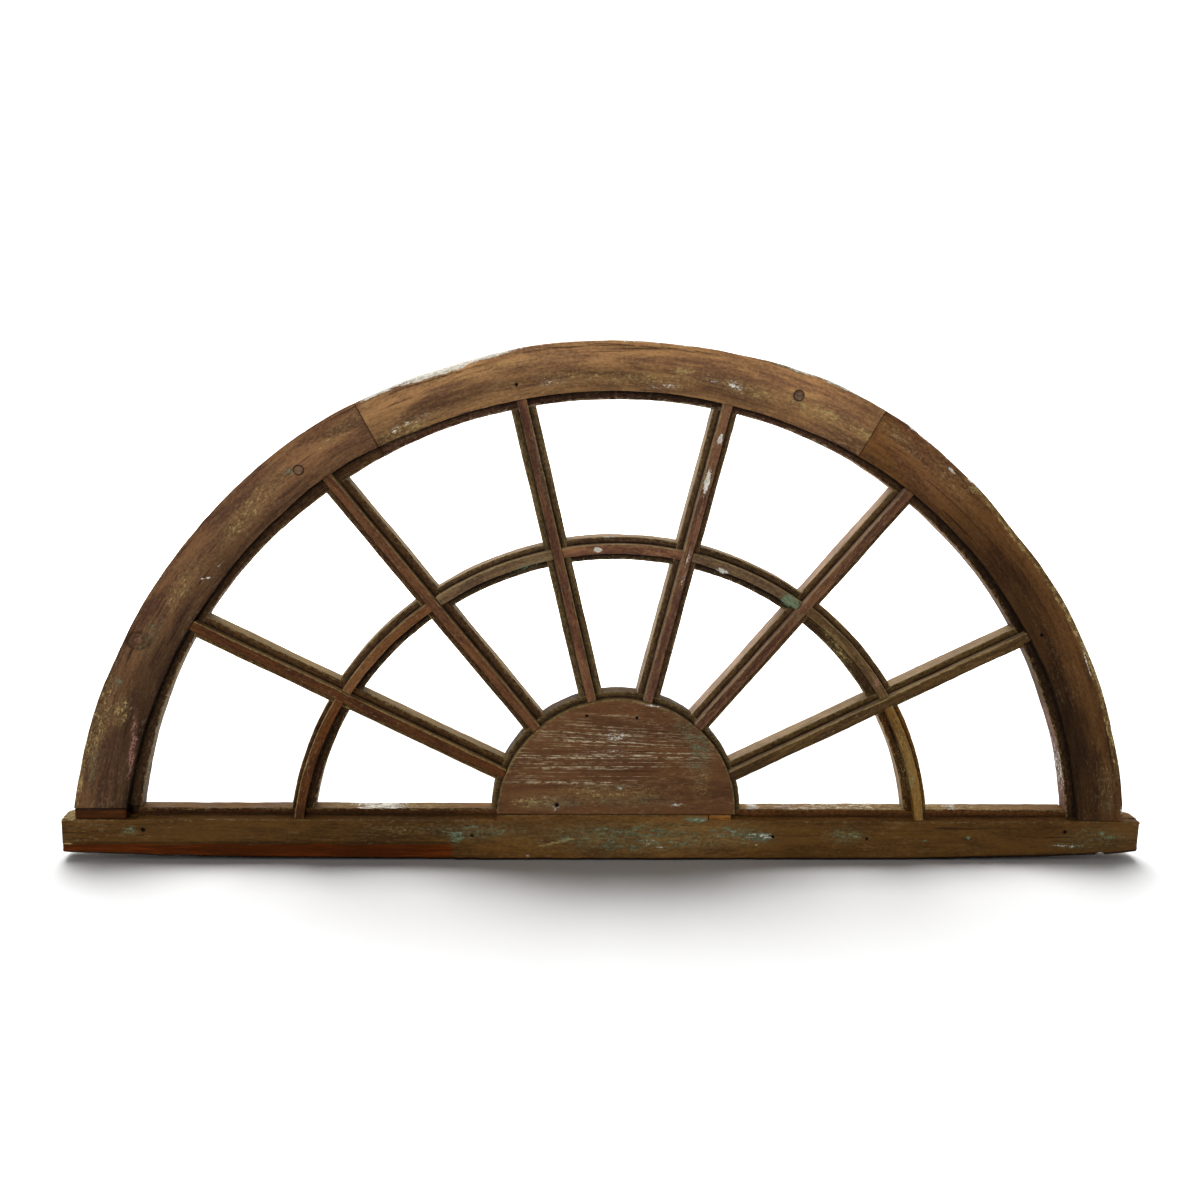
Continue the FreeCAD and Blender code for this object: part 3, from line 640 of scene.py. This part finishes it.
arch_marks = {
    "arch_left": {
        "white": [(-445, 319, 9.6, 0.9, 8, 0.62), (-430, 334, 6.5, 0.9, 50, 0.6)],
        "green": [(-356, 435, 6.2, 4.2, 1, 0.55), (-542, 204, 5.3, 5.3, 1, 0.6), (-572, 110, 30, 5, 80, 0.42),
                  (-505, 255, 30, 12, 62, 0.36)],
        "ochre": [(-562, 160, 70, 11, 76, 0.45), (-395, 395, 70, 14, 48, 0.45), (-470, 310, 40, 12, 58, 0.44),
                  (-300, 480, 50, 10, 38, 0.4), (-540, 170, 20, 10, 70, 0.48)],
        "pink": [(-529, 134, 46, 4, 82, 0.6), (-520, 252, 7, 4.5, 20, 0.45)],
        "dark": [(-527, 236, 11, 1.3, 66, 0.8), (-531, 254, 7, 2.4, 75, 0.9), (-500, 274, 16, 0.9, 55, 0.6)]},
    "arch_crown": {
        "white": [(116, 534, 9.7, 5.4, -18, 0.64), (-218, 494, 26, 5, 21, 0.43), (90, 540, 14, 4, -10, 0.4),
                  (-245, 482, 9, 5, 24, 0.42), (-80, 533, 18, 6, 6, 0.42), (40, 533, 20, 5, 0, 0.42)],
        "ochre": [(60, 549, 14, 3.6, 1, 0.7), (200, 512, 64, 15, -23, 0.43), (-150, 545, 80, 8, 12, 0.4),
                  (218, 507, 20, 5, -22, 0.6), (180, 520, 15, 4, -18, 0.58), (252, 490, 26, 6, -28, 0.56),
                  (0, 540, 120, 8, 0, 0.42), (-235, 480, 40, 10, 24, 0.48), (130, 530, 40, 9, -14, 0.52)],
        "dark": [(12, 571, 34, 1.0, 1, 0.9), (-20, 545, 60, 7, 3, 0.3), (-170, 520, 70, 6, 17, 0.3)]},
    "arch_right": {
        "white": [(356, 449, 6.8, 1.2, -42, 0.9), (527, 237, 24, 1.0, -68, 0.8),
                  (587, 61, 7.3, 3.1, 96, 0.66)],
        "ochre": [(300, 480, 40, 10, -40, 0.42), (355, 440, 50, 14, -48, 0.38), (565, 90, 40, 12, 96, 0.34)],
        "green": [(572, 66, 12, 8, 96, 0.36)], "pink": [(325, 460, 75, 30, -45, 0.36)]}}
rim_marks = {
    "arch_left": [("ochre", 158, 175, 0, 0.006, 0.5)],
    "arch_crown": [("white", 106, 114.5, 0, 0.0048, 0.9), ("white", 101, 119, 0, 0.0024, 0.85),
                   ("dark", 104, 116, 0.0066, 0.0076, 0.95),
                   ("dark", 80, 101, 0.0046, 0.0054, 0.9), ("white", 64, 74, 0, 0.0022, 0.75),
                   ("green", 62, 76, 0, 0.0034, 0.6), ("white", 82, 102, 0, 0.0008, 0.6)],
    "arch_right": [("ochre", 10, 52, 0, 0.007, 0.5), ("white", 46, 61, 0, 0.0015, 0.55),
                   ("ochre", 14, 34, 0, 0.003, 0.62)]}
side_marks = {"arch_left": [("ochre", 152, 180, 0.46)],
              "arch_right": [("pink", 0, 22, 0.55), ("white", 8, 16, 0.5)]}
slip_turn = 180 - np.degrees(np.arcsin(0.0712 / outer_r))
foot_turn = np.degrees(np.arcsin(0.0588 / outer_r))
arch_piece(
    "arch_left", (118.77, slip_turn), (133.77, 180 - foot_turn), 59.4, 41,
    tone=([118, 128, 142, 155, 165, 174], [0.22, 0.2, -0.05, -0.22, -0.44, -0.5]),
    bed_tone=([118, 128, 142, 155, 165, 174], [0.4, 0.1, 0.1, -0.1, -0.1, -0.1]), scuffs=0.18,
    face=(0.1, 0.05, 0.024), bed=(0.032, 0.016, 0.007), side=(0.24, 0.13, 0.05), arris=(0.2, 0.14, 0.07))
arch_piece(
    "arch_right", (foot_turn, 61.73), (foot_turn, 76.73), -59.1, 51,
    tone=([5, 15, 32, 45, 52, 62], [-0.22, -0.36, -0.16, 0.22, 0.65, 0.75]),
    bed_tone=([5, 15, 32, 45, 52, 62], [0.1, 0, -0.4, -0.2, 0.3, 0.6]), scuffs=0.16,
    face=(0.066, 0.0295, 0.01), bed=(0.026, 0.013, 0.006), side=(0.2, 0.115, 0.06), arris=(0.18, 0.115, 0.04))
arch_piece(
    "arch_crown", (61.77, 118.73), (76.77, 133.73), 0, 61,
    tone=([61, 70, 80, 95, 108, 119], [-0.08, 0.26, 0.04, 0, 0.16, -0.2]),
    bed_tone=([61, 75, 80, 102, 108, 119], [0.6, 0.4, -0.1, -0.1, 0.8, 0.8]),
    face=(0.212, 0.112, 0.049), bed=(0.03, 0.014, 0.008), side=(0.2, 0.12, 0.065), arris=(0.3, 0.22, 0.13))


# Arch pegs
# Two turned pegs driven through the halved joints of the arch to hold them. Their heads are left a little
# proud, domed and rubbed shiny.
def peg(name, x, z, size, seed):
    """Round rings along Y: the back end, the straight shank, then a dome that closes over the head."""
    lowest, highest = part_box(name)
    head = np.linspace(0, np.pi / 2 * 0.97, 12)
    depth = np.concatenate([[highest.y, highest.y - 0.0006], np.linspace(highest.y - 0.003, -0.0172, 12),
                            -0.0172 + (lowest.y + 0.0172) * np.sin(head[1:])])
    radius = np.concatenate([[size / 2 - 0.0006], np.full(13, size / 2), size / 2 * np.cos(head[1:]) ** 0.7])
    turn = np.linspace(0, 2 * np.pi, 48, endpoint=False)
    uneven = 0.95 + 0.02 * np.sin(2 * turn + seed) + 0.012 * np.sin(5 * turn + seed)
    reach = radius[:, None] * uneven
    places = np.stack([x + reach * np.cos(turn), np.broadcast_to(depth[:, None], reach.shape),
                       z + reach * np.sin(turn)], -1)
    # The peg's foot is darkened where it enters the arch, as painted shade in the gap round it.
    rim = np.exp(-((depth + 0.0172) / 0.0006) ** 2)[:, None] * np.ones(48)
    timber = weathered_timber(
        name + "_timber", face=(0.11, 0.058, 0.03), bed=(0.03, 0.012, 0.005), side=(0.1, 0.05, 0.02),
        arris=(0.2, 0.13, 0.08), lift=(seed, 0.2, 0.4), gloss=0.25)
    closed_piece(name + "_worn", [(places, {"dark": rim, "lie": places})], timber)


peg("arch_peg_left", -0.3451, 0.4364, 0.0104, 1)
peg("arch_peg_right", 0.1835, 0.5260, 0.0116, 2)


# Hub
# A half disc sawn from one board with its grain level, standing on the rail. Its rim is cut back to the
# same glazing bed as the arch, and its face is crossed by rows of old pale scratches.
hub_x, hub_z, hub_r, hub_ledge_r = 0.002, 0.054, 0.1344, 0.141
hub_nail_holes = [(-34.4, 169.4, 1.5), (21.3, 167.5, 1.5), (-65.6, 65.5, 2.0)]
hub_turn = spread(0.0006, np.pi * hub_r - 0.0006, 0.0016) / hub_r
chip = np.maximum(wander_along(hub_turn, 0.3, 71), 0)
hub = worn_section(
    [(0.0004, front_y), (0.0004, back_y), (hub_ledge_r - 0.003, back_y), (hub_ledge_r, mould_y),
     (hub_ledge_r, bed_y), (hub_r, bed_y), (hub_r, front_y)],
    [0.0001, 0.0001, 0.0008, 0.0006, 0.0007, 0.0006, 0.0008 + 0.0009 * chip],
    [(8, 0, 0), (50, 0, 0), (4, 0, 0.25), (8, 0.1, 1), (5, 1, 0), (6, 0.9, 0), (84, 0, 0)], len(hub_turn),
    [0, 0, 0.4, 0.4, 0.8, 0, 0.85])


def half_disc(along, across, depth):
    """Out from the hub's centre by the radius, turned by the angle."""
    return np.stack([hub_x + across * np.cos(along), depth, hub_z + across * np.sin(along)], -1)


def hub_relief(places):
    """Wear along the grain, and nail holes."""
    return (0.0004 * wander(places, (0.12, 0.03, 0.02), 72)
            + 0.00025 * wander(places, (0.04, 0.012, 0.006), 73)
            + pitted(places, hub_nail_holes)) * rise(places[..., 2], 0.0545, 0.06)


places, marks = swept(hub, hub_turn[:, None], half_disc, hub_turn * hub_r, (0.0002, 0.0002), hub_relief)
dip = 0.05 * places[..., 0] * rise(places[..., 2], 0.11, 0.16)
marks["lie"] = places + np.stack([0 * dip, 0 * dip, dip], -1)
marks["crease"] = 0.7 * marks["crease"]
marks["score"] = daub(places, [
    (-5, 163, 70, 9, -3, 0.75), (5, 144, 100, 11, -2, 0.9), (-5, 126, 115, 11, 0, 1.0),
    (-25, 109, 105, 9, 0, 0.9), (-40, 96, 95, 8, 0, 0.8), (-10, 83, 95, 6, 0, 0.55),
    (60, 120, 70, 24, 0, 0.6)], -0.012)
marks["white"] = daub(places, [(36, 182, 11, 1.5, -10, 0.72), (-67, 62, 5.6, 3.6, 20, 0.52),
                               (68, 66, 9, 1.8, 6, 0.7), (5, 86, 3.4, 2.3, 0, 0.6), (3, 147, 24, 9, 0, 0.44),
                               (-70, 70, 30, 9, 0, 0.32), (-10, 128, 40, 10, 0, 0.34)], -0.012)
marks["ochre"] = daub(places, [
    (-88, 70, 34, 10, 0, 0.54), (-10, 80, 70, 14, 0, 0.43), (95, 95, 14, 26, 0, 0.42)], -0.012)
marks["green"] = daub(places, [
    (93, 128, 30, 14, 92, 0.48), (5, 86, 6, 5, 0, 0.55), (80, 150, 26, 10, -52, 0.46),
    (-70, 68, 40, 10, 0, 0.45), (20, 70, 60, 9, 0, 0.38)], -0.012)
marks["dark"] = 0.9 * np.exp(-((places[..., 2] - 0.0542) / 0.0009) ** 2) * (places[..., 1] < -0.012)
hub_timber = weathered_timber(
    "hub_timber", face=(0.102, 0.046, 0.019), bed=(0.074, 0.045, 0.019), side=(0.06, 0.035, 0.014),
    arris=(0.17, 0.125, 0.05), holes=hub_nail_holes, lift=(0.9, 0.3, 0.2), streak=0.5)
closed_piece("hub_block_worn", [(places, marks)], hub_timber)


# Patch block
# A small block of newer, paler timber let into the rail's rebate under the right corner of the hub, where
# old timber has gone. Its joint stands a little open all round.
patch_x = spread(0.1068, 0.1320, 0.0012)
patch = worn_section([(0.0478, -0.0168), (0.0538, -0.0168), (0.0538, -0.0074), (0.0478, -0.0074)],
                     [0.0004, 0.0006, 0.0005, 0.0004], [(8, 0, 0), (10, 0, 0), (6, 0, 0), (8, 0, 0)],
                     len(patch_x), [0.5, 0.7, 0.5, 0.3])


def patch_relief(places):
    """Chisel marks across the small faces."""
    return 0.0002 * wander(places, (0.006, 0.006, 0.004), 81)


places, marks = swept(patch, patch_x[:, None], level, patch_x, (0.0006, 0.0008), patch_relief)
patch_finish = weathered_timber(
    "patch_timber", face=(0.18, 0.075, 0.0175), bed=(0.1, 0.05, 0.02), side=(0.16, 0.08, 0.03),
    arris=(0.22, 0.12, 0.05), lift=(0.4, 0.5, 0.6))
closed_piece("patch_block_worn", [(places, marks)], patch_finish)


# Ray bars
# Six straight glazing bars from the hub to the arch. Each has a broad back with a sloped moulding and a
# narrow rounded nose in front that runs over both ledges and butts the hub's rim and the arch's face.
fan_x, fan_z = 0.002, 0.050
ray_lines = {1: (153.82, 9.9), 2: (129.33, 4.5), 3: (104.08, -2.8), 4: (77.11, -0.3), 5: (50.51, 0.2),
             6: (26.63, -12.3)}
ray_marks = {3: {"green": [(-90, 440, 60, 5, -76, 0.36)], "pink": [(-95, 470, 50, 4, -76, 0.4)]},
             4: {"white": [(101, 477, 6.4, 3.2, 79, 0.9), (89, 432, 14, 3.2, 79, 0.9),
                           (70, 340, 40, 3, 77, 0.4)]},
             5: {"green": [(198, 284, 6.6, 4.4, 53, 0.5)]}}
ray_faces = {1: (0.07, 0.025, 0.008), 2: (0.096, 0.041, 0.018), 3: (0.112, 0.05, 0.026),
             4: (0.14, 0.067, 0.036), 5: (0.1, 0.046, 0.024), 6: (0.074, 0.041, 0.014)}
ray_beds = {1: (0.055, 0.027, 0.01), 2: (0.05, 0.025, 0.011), 3: (0.08, 0.053, 0.024),
            4: (0.066, 0.038, 0.018), 5: (0.068, 0.038, 0.016), 6: (0.066, 0.039, 0.014)}
ray_sides = {1: (0.22, 0.15, 0.062), 2: (0.27, 0.18, 0.085), 3: (0.18, 0.125, 0.062), 4: (0.34, 0.26, 0.17),
             5: (0.4, 0.28, 0.195), 6: (0.3, 0.21, 0.12)}
ray_reach = {1: (13.6, 12.6), 2: (13.5, 13.6), 3: (13.5, 13.2), 4: (12.8, 13.2), 5: (12.4, 12.8),
             6: (11.4, 12.9)}
ray_nose_aside = {1: 0, 2: 1.0, 3: 0, 4: 0.3, 5: -0.6, 6: -0.3}


def to_circle(angle, offset, x, z, radius):
    """Distance along a ray's line, moved aside by the offset, at which it meets a circle."""
    cos, sin = np.cos(angle), np.sin(angle)
    right, up = fan_x - sin * offset - x, fan_z + cos * offset - z
    ahead = right * cos + up * sin
    return -ahead + np.sqrt(ahead ** 2 - right ** 2 - up ** 2 + radius ** 2)


def bar_shells(nose_line, body_line, reach, nose_aside, up, setback, seed):
    """Sections of a bar's two shells, with the nose sunk 1 mm into the body and set back from the front.
    Offsets are from the bar's line: reach is how far the body goes to the right and to the left, and up is 1
    where the left edge is the upper one and -1 where the right one is. By up, the nose's upper wall takes the
    pale side colour as a painted highlight, its lower wall half the dark bed colour as painted shade, and its
    upper front arris is rubbed paler, partly wear and partly a painted highlight."""
    right, left = np.array(reach) / 1000
    low, high = nose_aside / 1000 - 0.0051, nose_aside / 1000 + 0.0051
    chip = [np.maximum(wander_along(line, 0.05, seed), 0) for line in (nose_line, body_line)]
    # The nose's walls and front arrises are painted lit on the upper side and shaded on the lower one, as up
    # says.
    nose = worn_section(
        [(low - 0.0003, bed_y + 0.001), (high + 0.0003, bed_y + 0.001), (high, front_y + setback),
         (low, front_y + setback)],
        [0.0003, 0.0003, 0.0005 + 0.0008 * chip[0], 0.0005 + 0.0008 * chip[0]],
        [(6, 1, 0), (7, 0.3 - 0.2 * up, 0.35 + 0.35 * up), (8, 0, 0), (7, 0.3 + 0.2 * up, 0.35 - 0.35 * up)],
        len(nose_line), [0, 0, 0.7 + 0.25 * up, 0.7 - 0.25 * up], 0.0008)
    body = worn_section(
        [(left, bed_y), (-right, bed_y), (-right, mould_y), (-right + 0.003, back_y), (left - 0.003, back_y),
         (left, mould_y)],
        [0.0006 + 0.0006 * chip[1], 0.0006 + 0.0006 * chip[1], 0.0006, 0.0008, 0.0008, 0.0006],
        [(18, 1, 0), (8, 0.1, 1), (4, 0, 0.25), (8, 0, 0), (4, 0, 0.25), (8, 0.1, 1)], len(body_line),
        [0.74, 0.74, 0.4, 0.4, 0.4, 0.4], 0.0014)
    # Beside the nose the bed gets a crease, which darkens it as dirt and painted shade.
    beside = np.abs(body["across"] - nose_aside / 1000) - 0.0052
    body["edge"] = body["edge"] - 0.95 * np.exp(-(beside / 0.0024) ** 2) * (body["depth"] < bed_y + 0.0005)
    body["edge"] = np.clip(body["edge"], -1, 1)
    return nose, body


share = [spread(0, 0.4, 0.0018) / 0.4, spread(0, 0.39, 0.0022) / 0.39]
for number, (degrees, aside) in ray_lines.items():
    angle, aside = np.radians(degrees), aside / 1000

    def straight(along, across, depth):
        """Out along the ray's line, and aside from it by its own shift and the section's width."""
        cos, sin = np.cos(angle), np.sin(angle)
        return np.stack([fan_x + along * cos - (aside + across) * sin, depth,
                         fan_z + along * sin + (aside + across) * cos], -1)

    def ray_relief(places):
        """Plane and wear unevenness along the bar."""
        along = (places[..., 0] - fan_x) * np.cos(angle) + (places[..., 2] - fan_z) * np.sin(angle)
        across = places[..., 2] * np.cos(angle) - places[..., 0] * np.sin(angle)
        lying = np.stack([along, places[..., 1], across], -1)
        return 0.0004 * wander(lying, (0.1, 0.02, 0.02), 100 + number) \
            + 0.00016 * wander(lying, (0.02, 0.006, 0.006), 200 + number)

    shells = []
    end = straight(np.array(0.49), 0, 0)
    end_turn = np.degrees(np.arctan2(end[2] - arch_z, end[0] - arch_x))
    nose, body = bar_shells(share[0] * 0.4, share[1] * 0.39, ray_reach[number], ray_nose_aside[number],
                            1 if degrees < 90 else -1, 0.0008, 90 + number)
    for section, part, inner, outer, end_size in (
            (nose, share[0], hub_r + 0.0002, face_r + face_edge(end_turn), 0.0018),
            (body, share[1], hub_ledge_r - 0.0002, ledge_r + inner_edge(end_turn) + 0.0004, 0.0002)):
        start = to_circle(angle, aside + section["across"], hub_x, hub_z, inner)
        stop = to_circle(angle, aside + section["across"], arch_x, arch_z, outer)
        along = start + (stop - start) * part[:, None]
        places, marks = swept(section, along, straight, part * 0.4, (end_size, end_size), ray_relief)
        for kind, spots in ray_marks.get(number, {}).items():
            marks[kind] = daub(places, spots)
        shells.append((places, marks))
    ray_timber = weathered_timber(
        f"ray_timber_{number}", face=ray_faces[number], bed=ray_beds[number], side=ray_sides[number],
        arris=(0.2, 0.14, 0.055), lift=(number * 0.61, number * 0.23, number * 0.37))
    closed_piece(f"ray_bar_{number}_worn", shells, ray_timber)


# Ring bars
# Seven curved glazing bars cut to fit between the rays, and at the two ends standing on the rail. Each has
# the rays' section, with its nose a little lower and running over the rays' beds to their noses.
ring_x, ring_z, ring_r = -0.001, 0.005, 0.352
ring_marks = {3: {"green": [(-100, 338, 28, 5.4, 26, 0.5)]},
              4: {"white": [(-27, 356, 4.3, 3.2, 1, 0.9), (-14, 370, 12, 2.2, 1, 0.7)]},
              5: {"white": [(110, 334, 7, 3.6, -20, 0.85)], "green": [(187, 301, 11, 6, -34, 1.2)]},
              6: {"ochre": [(245, 248, 35, 7, -53, 0.5)], "pink": [(290, 210, 7, 3.5, 94, 0.7)]},
              7: {"ochre": [(328, 120, 54, 7, -76, 0.42)], "green": [(335, 110, 40, 6, -78, 0.36)]}}
ring_faces = {1: (0.085, 0.03, 0.008), 2: (0.104, 0.044, 0.017), 3: (0.115, 0.07, 0.036),
              4: (0.15, 0.068, 0.036), 5: (0.135, 0.083, 0.042), 6: (0.09, 0.052, 0.022),
              7: (0.15, 0.08, 0.021)}
ring_beds = {1: (0.05, 0.022, 0.007), 2: (0.066, 0.036, 0.016), 3: (0.07, 0.041, 0.02),
             4: (0.07, 0.04, 0.022), 5: (0.056, 0.032, 0.015), 6: (0.074, 0.04, 0.016), 7: (0.1, 0.04, 0.006)}
ring_reach = {1: (13.8, 11.6), 2: (13.2, 13.2), 3: (13.5, 11.9), 4: (13.0, 12.4), 5: (13.0, 13.2),
              6: (13.5, 15.0), 7: (13.3, 12.6)}
ring_nose_aside = {1: 1.6, 2: 0, 3: 0, 4: 0, 5: 0, 6: 2.2, 7: 1.0}


def to_ray(number, radius, aside):
    """Angle at which a circle of that radius round the ring's centre meets a ray's line moved aside."""
    degrees, shift = ray_lines[number]
    turn = np.radians(degrees)
    gap = -np.sin(turn) * (ring_x - fan_x) + np.cos(turn) * (ring_z - fan_z)
    return turn + np.arcsin((shift / 1000 + aside - gap) / radius)


def to_rail(radius, height, left):
    """Angle at which that circle comes down to a level, at the left or at the right."""
    turn = np.arcsin((height - ring_z) / radius)
    return np.pi - turn if left else turn


def round_ring(along, across, depth):
    """Turned by the angle about the ring's centre, out by its radius and the section's width."""
    reach = ring_r + across
    return np.stack([ring_x + reach * np.cos(along), depth, ring_z + reach * np.sin(along)], -1)


length = 0.15
share = [spread(0, length, 0.0018) / length, spread(0, length, 0.0022) / length]
for number in range(1, 8):

    def ring_relief(places):
        """Saw and wear unevenness."""
        return 0.0004 * wander(places, (0.06, 0.02, 0.06), 300 + number) \
            + 0.00016 * wander(places, (0.015, 0.006, 0.015), 400 + number)

    shells = []
    nose, body = bar_shells(share[0] * length + number, share[1] * length + number, ring_reach[number],
                            ring_nose_aside[number], 1, 0.0014, 95)
    for section, part, clear, foot, end_size in (
            (nose, share[0], 0.0056, 0.0477, 0.0012),
            (body, share[1], 0.0118, 0.0559, 0.0003)):
        radius = ring_r + section["across"]
        start = to_rail(radius, foot - 0.0008, False) if number == 7 else to_ray(number, radius, clear)
        stop = to_rail(radius, foot, True) if number == 1 else to_ray(number - 1, radius, -clear)
        along = start + (stop - start) * part[:, None]
        places, marks = swept(section, along, round_ring, part * length, (end_size, end_size), ring_relief)
        # The inner, lower part of the body's bed is darkened as painted shade under the nose.
        marks["dark"] = 0.65 * (section["across"] < -0.0058) * (section["depth"] < -0.006) * (section is body)
        if number == 1:
            marks["dark"] = np.maximum(marks["dark"], 0.6 * (1 - rise(places[..., 2], 0.056, 0.075)))
        from_end = np.minimum(part, 1 - part)[:, None] * length
        rubbed_end = 0.9 * np.exp(-(from_end / 0.0014) ** 2) * (section is nose)
        marks["arris"] = np.maximum(marks["arris"], rubbed_end)
        for kind, spots in ring_marks.get(number, {}).items():
            marks[kind] = daub(places, spots)
        shells.append((places, marks))
    ring_timber = weathered_timber(
        f"ring_timber_{number}", face=ring_faces[number], bed=ring_beds[number], side=(0.3, 0.21, 0.12),
        arris=(0.2, 0.145, 0.06), lift=(number * 0.43, number * 0.31, number * 0.17))
    closed_piece(f"ring_bar_{number}_worn", shells, ring_timber)


# Studio
# A white floor and a white screen well behind the object. A large light above and a little behind throws the
# shadow forwards on the sheets, its twin and a low soft light at the front left reach only the timber, and
# the camera stands left of the middle.
sheets, dressed = bpy.data.collections.new("studio_sheets"), bpy.data.collections.new("dressed_timber")
for piece in [thing for thing in bpy.context.scene.objects if thing.name.endswith("_worn")]:
    dressed.objects.link(piece)


def white_sheet(name, corners):
    """A flat sheet between four corners, in white paper that glows from well behind the object on."""
    mesh = bpy.data.meshes.new(name)
    mesh.from_pydata(corners, [], [(0, 1, 2, 3)])
    paper = Finish(name + "_paper")
    spot = paper.add("ShaderNodeTexCoord").outputs["Object"]
    behind = Tone(paper, paper.add("ShaderNodeSeparateXYZ", None, {0: spot}).outputs["Y"]).between(0.25, 1.6)
    shader = paper.add("ShaderNodeBsdfPrincipled", None, {
        "Base Color": (0.8, 0.8, 0.8, 1), "Roughness": 0.9, "Specular IOR Level": 0.0,
        "Emission Color": paper.blend((0, 0, 0), (1, 1, 1), behind), "Emission Strength": 1.0})
    paper.add("ShaderNodeOutputMaterial", None, {"Surface": shader.outputs[0]})
    mesh.materials.append(paper.material)
    sheet = bpy.data.objects.new(name, mesh)
    bpy.context.scene.collection.objects.link(sheet)
    sheets.objects.link(sheet)


def aimed(place, aim, roll=0.0):
    """Matrix of a light or camera that stands at a place and looks at an aim: its X axis is level, and then
    turned about the line of sight by the roll in degrees."""
    back = np.array(place) - np.array(aim)
    back = back / np.linalg.norm(back)
    right = np.cross((0, 0, 1), back)
    right = right / np.linalg.norm(right)
    up, cos, sin = np.cross(back, right), np.cos(np.radians(roll)), np.sin(np.radians(roll))
    turned = np.eye(4)
    turned[:3] = np.stack([right * cos + up * sin, up * cos - right * sin, back, place], 1)
    return Matrix(turned)


white_sheet("studio_floor", [(-9, -6, 0), (9, -6, 0), (9, 5, 0), (-9, 5, 0)])
white_sheet("studio_screen", [(-9, 4, -0.1), (9, 4, -0.1), (9, 4, 7), (-9, 4, 7)])
sky = bpy.data.worlds.new("studio_sky")
sky.use_nodes = True
sky.node_tree.nodes["Background"].inputs["Color"].default_value = (1, 1, 1, 1)
sky.node_tree.nodes["Background"].inputs["Strength"].default_value = 0.2
bpy.context.scene.world = sky
for name, place, aim, size, power, lit in (
        ("floor_light", (-0.2, 1.6, 2.4), (0, 0.1, 0), 3.2, 235, sheets),
        ("top_light", (-0.2, 0.9, 2.6), (0, 0.1, 0), 2.6, 90, dressed),
        ("front_light", (-1.1, -2.7, 1.1), (0, 0, 0.3), 1.6, 50, dressed)):
    lamp = bpy.data.lights.new(name, "AREA")
    lamp.size, lamp.energy = size, power
    light = bpy.data.objects.new(name, lamp)
    light.matrix_world = aimed(place, aim)
    light.light_linking.receiver_collection = lit
    bpy.context.scene.collection.objects.link(light)

lens = bpy.data.cameras.new("photo_camera")
lens.lens, lens.sensor_width = 40.853, 36
camera = bpy.data.objects.new("photo_camera", lens)
camera.matrix_world = aimed((-0.1219, -1.4666, 0.5971), (-0.0222, 0, 0.2973), 1.507)
bpy.context.scene.collection.objects.link(camera)
bpy.context.scene.camera = camera
bpy.context.scene.view_settings.view_transform = "Standard"
